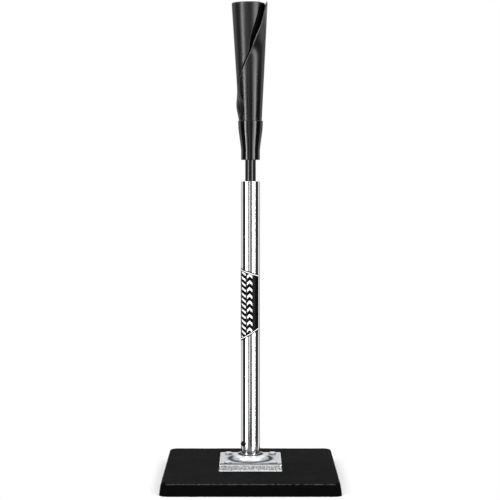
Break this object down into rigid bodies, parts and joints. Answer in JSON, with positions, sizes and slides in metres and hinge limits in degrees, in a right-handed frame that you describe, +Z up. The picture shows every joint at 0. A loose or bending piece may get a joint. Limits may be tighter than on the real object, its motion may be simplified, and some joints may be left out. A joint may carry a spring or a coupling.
{
  "type": "batting tee",
  "caption": "Batting tee with a weighted square rubber base, a bolted cast flange, a telescoping tube with a snap button, and a flared rolled rubber cone that holds the ball.",
  "frame": {"origin": "centre of the base's underside, on the floor", "axes": "+Z up along the tube's axis; the base's sides are parallel to X and Y; -Y is the front, where the label and the snap button face"},
  "size_m": [0.259, 0.259, 0.7034],
  "materials": {
    "base_rubber": "matte moulded rubber with a fine grain",
    "sole_rubber": "matte sheet rubber",
    "plate_steel": "mill finish",
    "cast_metal": "as cast, rough",
    "zinc_steel": "zinc plated",
    "tube_metal": "polished",
    "label_film": "printed film",
    "bush_nylon": "moulded nylon",
    "button_steel": "polished",
    "spring_steel": "tempered",
    "ring_rubber": "smooth",
    "shaft_black": "gloss black",
    "collar_plastic": "gloss black moulding",
    "core_plastic": "moulded",
    "cone_rubber": "satin rolled sheet"
  },
  "bodies": {
    "stand": {"base_block": "base_rubber", "ballast_plate": "plate_steel", "sole_pad": "sole_rubber", "flange_casting": "cast_metal", "flange_bolts": "zinc_steel", "flange_washers": "zinc_steel", "base_nuts": "zinc_steel", "spigot_tube": "plate_steel", "outer_tube": "tube_metal", "guide_bush": "bush_nylon", "tube_label": "label_film", "button_spring": "spring_steel"},
    "button": {"snap_button": "button_steel"},
    "slider": {"friction_plug": "bush_nylon", "friction_ring_lower": "ring_rubber", "friction_ring_upper": "ring_rubber"},
    "upper": {"thrust_washer": "zinc_steel", "plug_screw": "zinc_steel", "shaft_end_plug": "plate_steel", "inner_shaft": "shaft_black", "collar": "collar_plastic", "cone_core": "core_plastic", "ball_cone": "cone_rubber"}
  },
  "joints": [
    {"name": "height_slide", "type": "slide", "parent": "stand", "child": "slider", "axis": [0, 0, 1], "range_m": [-0.031, 0.306]},
    {"name": "shaft_spin", "type": "hinge", "parent": "slider", "child": "upper", "pos_m": [0, 0, 0.12], "axis": [0, 0, 1], "continuous": true},
    {"name": "button_press", "type": "slide", "parent": "stand", "child": "button", "axis": [0.682, 0.7314, 0], "range_m": [0, 0.0066], "stiffness_N_per_m": 1500, "springref_m": -0.002, "deforming": ["button_spring"]}
  ]
}
